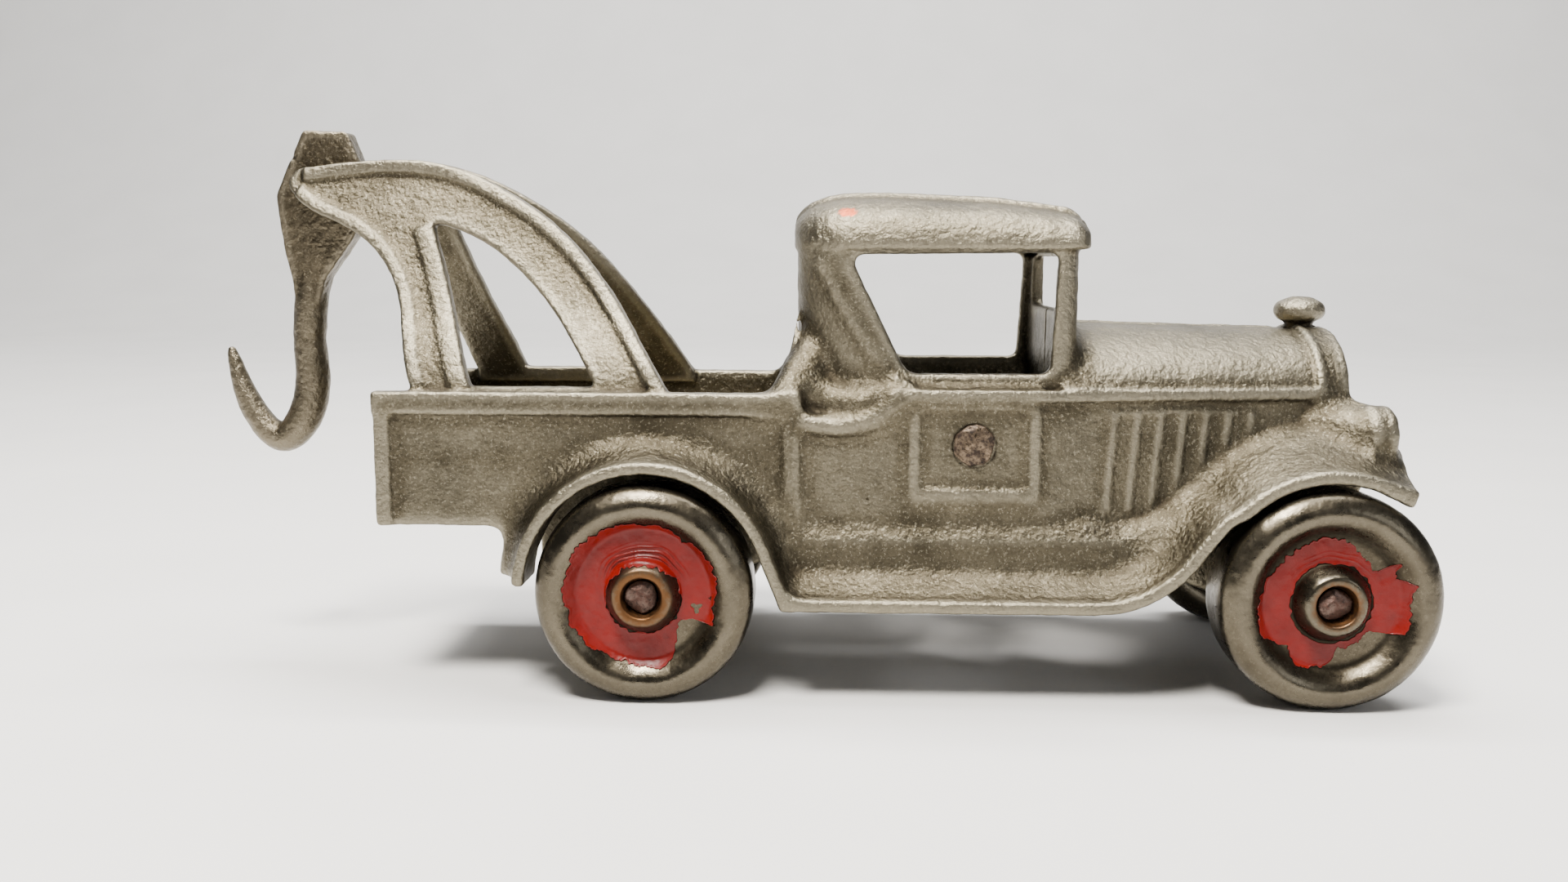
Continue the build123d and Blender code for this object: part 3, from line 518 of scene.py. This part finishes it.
def rusty_steel(name, bare, rust, deep, shine=0.32):
    """Bare steel that has rusted in patches; shine is the roughness of the bare places."""
    shader = Shader(name)
    patch = shader.ramp(shader.noise(1.6, 4, 0.7), (0.38, 0.0), (0.62, 1.0))
    colour = shader.mix(patch, bare, rust)
    pits = shader.ramp(shader.noise(0.5, 3, 0.7), (0.5, 0.0), (0.66, 1.0))
    colour = shader.mix(shader.maths("MULTIPLY", pits, 0.7), colour, deep)
    shader.set(shader.bsdf.inputs["Base Color"], colour)
    shader.set(shader.bsdf.inputs["Metallic"], shader.ramp(patch, (0.0, 0.95), (1.0, 0.55)))
    shader.set(shader.bsdf.inputs["Roughness"], shader.ramp(patch, (0.0, shine), (1.0, 0.6)))
    shader.set(shader.bsdf.inputs["Normal"], shader.bump(shader.noise(0.35, 3, 0.7), 0.05, 0.8))
    return shader.material


def floor_paint():
    """Matt pale grey paint with a faint unevenness."""
    shader = Shader("pale_floor")
    tone = shader.ramp(shader.noise(60, 3, 0.5), (0.3, (0.62, 0.612, 0.60)), (0.7, (0.65, 0.642, 0.63)))
    shader.set(shader.bsdf.inputs["Base Color"], tone)
    shader.bsdf.inputs["Roughness"].default_value = 0.75
    shader.set(shader.bsdf.inputs["Normal"], shader.bump(shader.noise(1.2, 2, 0.5), 0.03, 0.3))
    return shader.material


def dress(obj, material, body):
    """One material and one body for a piece."""
    obj.data.materials.clear()
    obj.data.materials.append(material)
    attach(obj, body)
    return obj


# ---- cast skin -------------------------------------------------------------------------------------------
def cast_skin(seed, coarse, fine, bare=None):
    """Uneven sand-cast skin; bare(points) is 0 where a fit keeps the surface plain and 1 elsewhere."""

    def relief(points, normals):
        rise = coarse * noise(points, 3.4, seed)
        rise = rise + fine * noise(points, 1.3, seed + 1)
        rise = rise + 0.5 * fine * noise(points, 0.7, seed + 2)
        return rise if bare is None else rise * bare(points)

    return relief


def off_axles(points):
    """0 in the bores of the axles, 1 a little way out from them."""
    away = [np.hypot(points[:, 0] - axle[0], points[:, 2] - axle[2]) for axle in (FRONT_AXLE, REAR_AXLE)]
    return np.clip((np.minimum(*away) - 3.2) / 1.5, 0, 1)


def rod_tips(points):
    """0 along a rod, 1 at its hammered ends."""
    return np.clip(np.abs(points[:, 1]) - 31.5, 0, 1)


# ---- body ------------------------------------------------------------------------------------------------
def within(value, low, high, soft):
    """1 between low and high, fading to 0 over soft."""
    return np.clip((value - low) / soft + 0.5, 0, 1) * np.clip((high - value) / soft + 0.5, 0, 1)


def corner_fill(x, y, z):
    """Where the body's inner corners are filled: fender roots, running boards, cab foot, lamps and cowl."""
    x = x - MID_X
    y = np.abs(y)
    rear = within(x, -82, -30, 4) * within(y, 22.5, 40, 1.5) * within(z, 14, 45.2, 2)
    board = within(x, -40, 40, 4) * within(y, 22.5, 40, 1.5) * within(z, 14, 33.5, 2)
    from_axle = np.hypot(x - FRONT_AXLE[0] + MID_X, z - FRONT_AXLE[2])
    arch = within(from_axle, 16, 27.5, 2.5) * within(x, 22, 76, 3) * within(y, 12, 40, 3)
    lamp = within(x, 56, 74, 2) * within(y, 12, 40, 3) * within(z, 30, 50, 2)
    front = np.maximum(arch, lamp)
    cowl = within(x, 13.5, 22, 3) * within(y, -1, 26, 2) * within(z, 51, 64, 2)
    foot = within(x, -38, -12, 3) * within(y, 6, 30, 2) * within(z, 44, 60, 3)
    total = np.maximum(np.maximum(rear, board), np.maximum(front, cowl))
    return np.maximum(total, foot)


# Drops of metal and pits left in the skin of each half: x from the middle of the wheelbase, y out from the
# centre seam, z, radius.
RIGHT_BEADS = (
    (-14.3, 23.0, 52.6, 0.9), (-12.9, 23.4, 52.0, 0.7), (-13.6, 23.5, 51.2, 0.6), (-11.9, 23.8, 51.8, 0.5),
    (-10.9, 24.1, 50.9, 0.5), (-9.2, 24.6, 50.2, 0.5), (-17.7, 22.4, 61.3, 0.4), (36.0, 23.0, 47.6, 0.5),
    (21.5, 23.4, 44.5, 0.35),
)
RIGHT_PITS = (
    (-13.2, 23.9, 53.3, 0.6), (-12.2, 24.3, 51.3, 0.4), (-7.0, 32.2, 17.3, 0.7), (-5.2, 32.2, 17.5, 0.4),
)
LEFT_BEADS = ((-60.0, 24.9, 48.0, 0.6), (8.0, 24.6, 50.4, 0.5), (-14.0, 23.2, 52.4, 0.6))
LEFT_PITS = ((-88.0, 24.2, 36.0, 0.6), (3.0, 32.1, 17.4, 0.7))


def casting_flaws(side):
    """The swept foot of the cab, the belt's curl and the flaws of one half; side is -1 right, +1 left."""

    def at(x, y, z):
        return (x + MID_X, side * y, z)

    def run(clay, places, radii, blend):
        clay.tube([at(*place) for place in places], radii, blend)

    def shape(clay):
        # The cab's rear corner flares out into the top of the bed.
        run(clay, [(-29.0, 15.6, 58.5), (-30.6, 18.6, 53.6), (-32.0, 21.2, 50.2)], [1.0, 2.2, 2.6], 3.0)
        run(clay, [(-27.6, 16.8, 56.5), (-28.6, 18.6, 51.0)], [1.2, 2.8], 3.0)
        foot = [
            (-30.2, 14.0, 48.6), (-27.6, 17.4, 48.6), (-24.2, 19.9, 48.4), (-20.0, 21.3, 48.6),
            (-15.6, 22.3, 50.4),
        ]
        run(clay, foot, [3.0, 3.2, 2.8, 2.4, 1.5], 3.2)
        curl = [
            (-12.0, 23.9, 50.0), (-15.2, 23.9, 47.9), (-18.8, 23.9, 45.8), (-23.7, 23.9, 44.8),
            (-30.0, 23.9, 45.6),
        ]
        run(clay, curl, [0.9, 1.2, 1.35, 1.35, 1.3], 0.7)
        # The crease down the cab's rear panel, then the flash left on the hood's centre seam.
        run(clay, [(-26.6, 20.5, 71.5), (-21.6, 21.3, 62.8), (-15.6, 21.6, 53.6)], [0.85, 0.85, 1.0], 1.6)
        run(clay, [(17.8, 0.55, 61.5), (40, 0.55, 61.0), (53.0, 0.55, 60.6)], [0.42, 0.34, 0.4], 0.3)
        if side < 0:
            run(clay, [(-30.9, 14.2, 63.0), (-31.3, 15.4, 58.6), (-31.8, 17.4, 54.0)], [0.4, 0.55, 0.9], 0.7)
            run(clay, [(20.5, 22.6, 47.3), (31.0, 21.0, 47.5), (42.5, 19.2, 47.3)], [0.3, 0.42, 0.3], 0.3)
        for x, y, z, radius in RIGHT_BEADS if side < 0 else LEFT_BEADS:
            clay.blob(at(x, y, z), radius, 0.25)
        for x, y, z, radius in RIGHT_PITS if side < 0 else LEFT_PITS:
            clay.pit(at(x, y, z), radius, 0.2)

    return shape


def body_halves(material):
    """Both halves of the body in their cast skins."""
    voxel = 0.3
    for side, sign, seed in (("right", -1, 11), ("left", 1, 31)):
        half = cast_copy(
            f"{side}_body_half",
            f"{side}_half_casting",
            voxel,
            soft=0.36,
            relief=cast_skin(seed, 0.06, 0.06, off_axles),
            limit=BODY_TRIANGLES,
            closing=(3.0, corner_fill),
            shape=casting_flaws(sign),
        )
        dress(half, material, "truck_body")


def hook_flaws(clay):
    """The head runs out smoothly into the shank, and its top edge is worn."""
    neck = [(MID_X - 118.6, 0, 74.0), (MID_X - 119.7, 0, 66.5), (MID_X - 120.2, 0, 60.0)]
    clay.tube(neck, [1.6, 2.3, 2.3], 1.6)
    clay.blob((MID_X - 112.6, -1.6, 94.0), 0.6, 0.3)
    clay.pit((MID_X - 116.4, -2.1, 95.2), 0.8, 0.4)
    clay.pit((MID_X - 121.6, -2.2, 90.0), 0.6, 0.4)


# ---- running gear ----------------------------------------------------------------------------------------
def wheel_casting(node, seed, material):
    """One wheel with a slightly uneven skin."""
    wheel = cast_copy(
        node,
        f"{node}_casting",
        0.25,
        soft=0.22,
        relief=cast_skin(seed, 0.05, 0.025),
        limit=CASTING_TRIANGLES,
    )
    return dress(wheel, material, f"{node}_body")


def hammered(x, z, half_length, radius, lean, count, seed, rim=0):
    """Cuts count hammer marks in both ends of a bar along Y, and rim flats round the edge of each end.

    lean is the least and most tilt of a mark in degrees."""
    rng = np.random.default_rng(seed)

    def shape(clay):
        for side in (-1, 1):
            clay.slice_off((x, side * half_length, z), (0.06, side, -0.05))
            for index in range(count):
                angle = 2 * pi * (index + rng.uniform(-0.3, 0.3)) / count
                tilt = radians(rng.uniform(*lean))
                out = rng.uniform(0.15, 0.6) * radius
                place = (x + out * cos(angle), side * (half_length + 0.05), z + out * sin(angle))
                direction = (sin(tilt) * cos(angle), side * cos(tilt), sin(tilt) * sin(angle))
                clay.slice_off(place, direction)
            for index in range(rim):
                angle = 2 * pi * (index + rng.uniform(-0.35, 0.35)) / rim
                out = rng.uniform(1.04, 1.18) * radius
                place = (x + out * cos(angle), side * (half_length - 0.9), z + out * sin(angle))
                clay.slice_off(place, (cos(angle), side * 0.3, sin(angle)))

    return shape


def rod_end(node, seed, material):
    """An axle rod with both of its ends hammered over."""
    x, _, z = node_centre(node)
    half_length = node_box(node)[1][1] - 0.2
    shape = hammered(x, z, half_length, 2.8, (14, 38), 6, seed)
    axle = cast_copy(
        node,
        f"{node}_rod",
        0.14,
        soft=0.1,
        relief=cast_skin(seed, 0.06, 0.05, rod_tips),
        limit=SMALL_TRIANGLES,
        shape=shape,
        reach=0.4,
    )
    return dress(axle, material, f"{node}_body")


# ---- red paint left on the wheels ------------------------------------------------------------------------
def round_curve(points, angles):
    """Radius at each angle, from (degrees, mm) points round a circle."""
    places = np.radians([p[0] for p in points])
    radii = np.array([p[1] for p in points], float)
    return np.interp(angles, places, radii, period=2 * pi)


# Outer edge of what is left of the paint: degrees from the front of the truck upwards, and radius in mm.
REAR_RIGHT_EDGE = (
    (0, 11.6), (7, 12.0), (46, 12.3), (51, 11.0), (71, 12.0), (90, 11.6), (114, 12.4), (147, 13.2),
    (185, 12.8), (205, 12.5), (238, 11.5), (252, 11.4), (283, 12.4), (299, 10.8), (313, 7.6), (326, 7.4),
    (334, 8.9), (337, 12.5), (349, 11.6),
)
FRONT_RIGHT_EDGE = (
    (5, 12.2), (14, 13.1), (22, 10.4), (33, 11.7), (36, 8.3), (54, 8.6), (74, 10.0), (90, 10.6),
    (141, 10.1), (175, 11.6), (207, 12.1), (228, 9.7), (239, 11.5), (263, 10.8), (272, 9.9), (278, 7.8),
    (308, 8.1), (324, 7.8), (337, 12.3),
)
REAR_LEFT_EDGE = (
    (0, 12.6), (40, 12.2), (62, 9.2), (74, 12.0), (120, 12.6), (160, 11.2), (176, 8.4), (190, 12.1),
    (240, 12.8), (262, 10.4), (290, 12.4), (330, 11.4),
)
FRONT_LEFT_EDGE = (
    (0, 11.2), (28, 12.5), (70, 12.0), (96, 9.0), (118, 8.4), (132, 12.2), (170, 12.6), (205, 10.6),
    (230, 12.4), (275, 12.0), (300, 8.8), (322, 11.8),
)
PAINT_T = 0.13
PAINT_SUNK = 0.16
EDGE_CURL = 0.06


def paint_shell(node, edge, inner_top, inner_low, folds, holes, seed, material):
    """A thin chipped skin of paint that lies on one wheel's disc and creeps up its hub.

    inner_top and inner_low are where the paint ends at the hub, folds is the height of the wrinkles over
    the hub, and holes are (degrees, radius, size) of chips inside the paint."""
    side = -1 if "right" in node else 1
    x0, _, z0 = node_centre(node)
    casting = bpy.data.objects[f"{node}_casting"]
    points, triangles = arrays_of(casting)
    tree = BVHTree.FromPolygons(points.tolist(), triangles.tolist())
    count, rings = ((480, 56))
    angles = np.linspace(0, 2 * pi, count, endpoint=False)
    rim = np.stack([np.cos(angles) * 11.5, np.zeros(count), np.sin(angles) * 11.5], 1)
    outer = round_curve(edge, angles) + 0.3 * noise(rim, 2.0, seed) + 0.34 * noise(rim, 0.75, seed + 1)
    outer = outer + 0.16 * noise(rim, 0.3, seed + 5)
    upper = 0.5 + 0.5 * np.cos(angles - radians(95))
    inner = inner_low + (inner_top - inner_low) * upper ** 2 + 0.34 * noise(rim * 0.6, 0.8, seed + 2)
    share = np.linspace(0, 1, rings)
    radius = inner[:, None] + (outer - inner)[:, None] * share[None, :]
    x = x0 + radius * np.cos(angles)[:, None]
    z = z0 + radius * np.sin(angles)[:, None]
    skin = np.zeros_like(x)
    for i in range(count):
        for j in range(rings):
            hit = tree.ray_cast(Vector((x[i, j], side * 60, z[i, j])), Vector((0, -side, 0)))
            skin[i, j] = abs(hit[0][1]) if hit[0] is not None else 30.0
    flat = np.stack([x.ravel(), skin.ravel(), z.ravel()], 1)
    thickness = PAINT_T + 0.035 * noise(flat, 1.6, seed + 3).reshape(x.shape)
    above_hub = np.clip(np.cos(angles - radians(92)) * 1.9 - 0.5, 0, 1)
    over_hub = above_hub[:, None] * within(radius, 5.4, 8.3, 1.2)
    wave = np.sin(2 * pi * radius / 0.8 + 2.6 * noise(flat, 2.6, seed + 4).reshape(x.shape))
    thickness = thickness + folds * over_hub * np.clip(wave, 0, 1) + EDGE_CURL * (share > 0.96)[None, :]
    thickness = thickness + 0.05 * np.clip(noise(flat, 0.9, seed + 6), 0, 1).reshape(x.shape)
    top = np.stack([x, side * (skin + thickness), z], 2).reshape(-1, 3)
    bottom = np.stack([x, side * (skin - PAINT_SUNK), z], 2).reshape(-1, 3)
    i, j = np.meshgrid(np.arange(count), np.arange(rings - 1), indexing="ij")
    here, following = i * rings + j, (i + 1) % count * rings + j
    quads = np.stack([here, following, following + 1, here + 1], 2)
    keep = np.ones(i.shape, bool)
    for degrees, hole_radius, size in holes:
        hole_x = x0 + hole_radius * cos(radians(degrees))
        hole_z = z0 + hole_radius * sin(radians(degrees))
        around = np.arctan2(z[:, :-1] - hole_z, x[:, :-1] - hole_x)
        reach = size * (0.75 + 0.3 * np.cos(3 * around + degrees))
        keep &= np.hypot(x[:, :-1] - hole_x, z[:, :-1] - hole_z) > reach
    quads = quads[keep]
    if side < 0:
        quads = quads[:, ::-1]
    total = count * rings
    starts, ends = quads.ravel(), np.roll(quads, -1, axis=1).ravel()
    open_edge = ~np.isin(starts * total + ends, ends * total + starts)
    a, b = starts[open_edge], ends[open_edge]
    walls = np.stack([b, a, a + total, b + total], 1)
    faces = np.concatenate([quads, quads[:, ::-1] + total, walls])
    used, faces = np.unique(faces, return_inverse=True)
    shell = mesh_object(f"{node}_paint", np.concatenate([top, bottom])[used], faces.reshape(-1, 4))
    return dress(shell, material, f"{node}_body")


# ---- stage, light and camera -----------------------------------------------------------------------------
def area_light(name, place_mm, target_mm, size_mm, watts, tint):
    """A soft rectangular light that faces its target."""
    data = bpy.data.lights.new(name, "AREA")
    data.shape = "RECTANGLE"
    data.size, data.size_y = size_mm[0] * MM, size_mm[1] * MM
    data.energy = watts
    data.color = tint
    obj = bpy.data.objects.new(name, data)
    obj.location = Vector(place_mm) * MM
    aim = Vector(target_mm) - Vector(place_mm)
    obj.rotation_euler = aim.to_track_quat("-Z", "Y").to_euler()
    bpy.context.scene.collection.objects.link(obj)


def studio():
    """Pale floor that sweeps up far behind the truck, and four soft lights."""
    start, radius, height, half = 900.0, 700.0, 2600.0, 3000.0
    turns = [pi / 2 * k / 24 for k in range(25)]
    side = [(-half, 0.0)]
    side += [(start + radius * sin(t), radius * (1 - cos(t))) for t in turns]
    side += [(start + radius, height)]
    points = [(x, y, z) for y, z in side for x in (-half, half)]
    faces = [(2 * k, 2 * k + 1, 2 * k + 3, 2 * k + 2) for k in range(len(side) - 1)]
    floor = mesh_object("floor", points, faces)
    floor.data.materials.append(floor_paint())
    world = bpy.data.worlds.new("soft_grey")
    world.use_nodes = True
    background = world.node_tree.nodes["Background"]
    background.inputs["Color"].default_value = (0.80, 0.81, 0.83, 1)
    # The world lights the truck only a little, but looks pale where a view passes the floor's edge.
    path = world.node_tree.nodes.new("ShaderNodeLightPath")
    strength = world.node_tree.nodes.new("ShaderNodeMapRange")
    strength.inputs["To Min"].default_value = 0.13
    strength.inputs["To Max"].default_value = 0.55
    world.node_tree.links.new(path.outputs["Is Camera Ray"], strength.inputs["Value"])
    world.node_tree.links.new(strength.outputs["Result"], background.inputs["Strength"])
    bpy.context.scene.world = world
    centre = (MID_X, 0, 35)
    area_light("key", (-110, -270, 640), centre, (220, 180), 15.5, (1.0, 0.955, 0.885))
    area_light("fill", (520, -420, 260), centre, (300, 260), 0.7, (0.95, 0.97, 1.0))
    area_light("top", (60, 60, 700), centre, (700, 240), 8.0, (1.0, 0.98, 0.96))
    area_light("backdrop", (MID_X, 500, 1500), (MID_X, 1500, 350), (1600, 300), 55, (1.0, 0.99, 0.97))


def camera():
    """A low view of the truck's right side."""
    data = bpy.data.cameras.new("camera")
    data.sensor_width = 36.0
    data.lens = 31.875
    data.clip_start = 0.01
    data.clip_end = 20
    obj = bpy.data.objects.new("camera", data)
    place = Vector((MID_X - 24.95, -251.4, 72.9)) * MM
    yaw, pitch, roll = radians(1.97), radians(-7.62), radians(0.19)
    forward = Vector((-sin(yaw) * cos(pitch), cos(yaw) * cos(pitch), sin(pitch)))
    right = Vector((cos(yaw), sin(yaw), 0))
    up = right.cross(forward)
    tilted_right = cos(roll) * right + sin(roll) * up
    tilted_up = cos(roll) * up - sin(roll) * right
    turn = Matrix((tilted_right, tilted_up, -forward)).transposed()
    obj.matrix_world = Matrix.Translation(place) @ turn.to_4x4()
    bpy.context.scene.collection.objects.link(obj)
    bpy.context.scene.camera = obj


# ---- build -----------------------------------------------------------------------------------------------
def plated_pieces():
    """Body, hook and wheels with their nickel, and the paint on the wheels."""
    # In each plated material below, the darkest colour is dirt together with painted shade for the inner
    # corners, and the brightest colour paints glints on the grain and edge highlights together with wear.
    body = plated_iron(
        "cast_nickel",
        light=(0.124, 0.107, 0.073),
        dark=(0.048, 0.0405, 0.0265),
        darkening=(0.016, 0.012, 0.008),
        bright=(0.37, 0.335, 0.25),
        rough=(0.29, 0.44),
        grain=(0.45, 0.13),
    )
    smudged(body, (MID_X - 22.6, -20.4, 79.9), (2.0, 2.4, 1.0), (0.40, 0.075, 0.025), 0.85)
    # Dirt and painted shade in the crevice round the rivet head.
    dirt_and_shade_ring(body, node_centre("body_rivet"), 3.6, 0.36, (0.012, 0.009, 0.006))
    body_halves(body.material)

    hook = plated_iron(
        "hook_nickel",
        light=(0.115, 0.096, 0.065),
        dark=(0.050, 0.041, 0.027),
        darkening=(0.010, 0.008, 0.005),
        bright=(0.27, 0.235, 0.17),
        rough=(0.27, 0.42),
        grain=(0.5, 0.14),
    )
    tow = cast_copy(
        "tow_hook",
        "hook_casting",
        0.2,
        soft=0.24,
        relief=cast_skin(140, 0.08, 0.06),
        limit=CASTING_TRIANGLES,
        shape=hook_flaws,
    )
    dress(tow, hook.material, "hook")

    wheels = {}
    for end, axle, reach, amount in (("front", FRONT_AXLE, 3.9, 0.9), ("rear", REAR_AXLE, 5.0, 0.85)):
        wheels[end] = plated_iron(
            f"{end}_wheel_nickel",
            light=(0.095, 0.082, 0.058),
            dark=(0.046, 0.038, 0.026),
            darkening=(0.012, 0.010, 0.007),
            bright=(0.15, 0.132, 0.098),
            rough=(0.22, 0.36),
            grain=(0.6, 0.03),
        )
        rusty_hub(wheels[end], axle, reach, (0.115, 0.048, 0.016), amount)
        # Dirt and painted shade in the crevice round the axle's end.
        dirt_and_shade_ring(wheels[end], axle, 2.95, 0.3, (0.008, 0.005, 0.004))
    for index, node in enumerate(WHEELS):
        wheel_casting(node, 50 + 7 * index, wheels[node.split("_")[0]].material)
    paint = red_paint()
    chips = ((-14, 8.9, 1.0), (-3, 10.9, 0.35))
    paint_shell("rear_right_wheel", REAR_RIGHT_EDGE, 5.3, 6.5, 0.26, chips, 210, paint)
    paint_shell("front_right_wheel", FRONT_RIGHT_EDGE, 6.5, 6.7, 0.05, (), 230, paint)
    paint_shell("rear_left_wheel", REAR_LEFT_EDGE, 6.2, 6.6, 0.1, ((215, 9.4, 0.7),), 250, paint)
    paint_shell("front_left_wheel", FRONT_LEFT_EDGE, 6.0, 6.6, 0.12, ((20, 9.0, 0.6),), 270, paint)


def rusty_pieces():
    """Axle rods and rivet, hammered over and rusted."""
    steel = rusty_steel("axle_rust", (0.10, 0.068, 0.056), (0.045, 0.016, 0.009), (0.010, 0.006, 0.005))
    for index, node in enumerate(("front_axle", "rear_axle")):
        rod_end(node, 90 + 5 * index, steel)
    copper = rusty_steel(
        "rivet_rust", (0.17, 0.125, 0.085), (0.022, 0.012, 0.007), (0.004, 0.003, 0.002), shine=0.2
    )
    x, _, z = node_centre("body_rivet")
    end = node_box("body_rivet")[1][1] - 0.1
    rivet = cast_copy(
        "body_rivet",
        "peened_rivet",
        0.14,
        soft=0.1,
        relief=cast_skin(120, 0.16, 0.14),
        limit=SMALL_TRIANGLES,
        shape=hammered(x, z, end, 3.0, (9, 24), 6, 126, rim=8),
        reach=0.4,
    )
    dress(rivet, copper, "truck_body")


plated_pieces()
rusty_pieces()
studio()
camera()
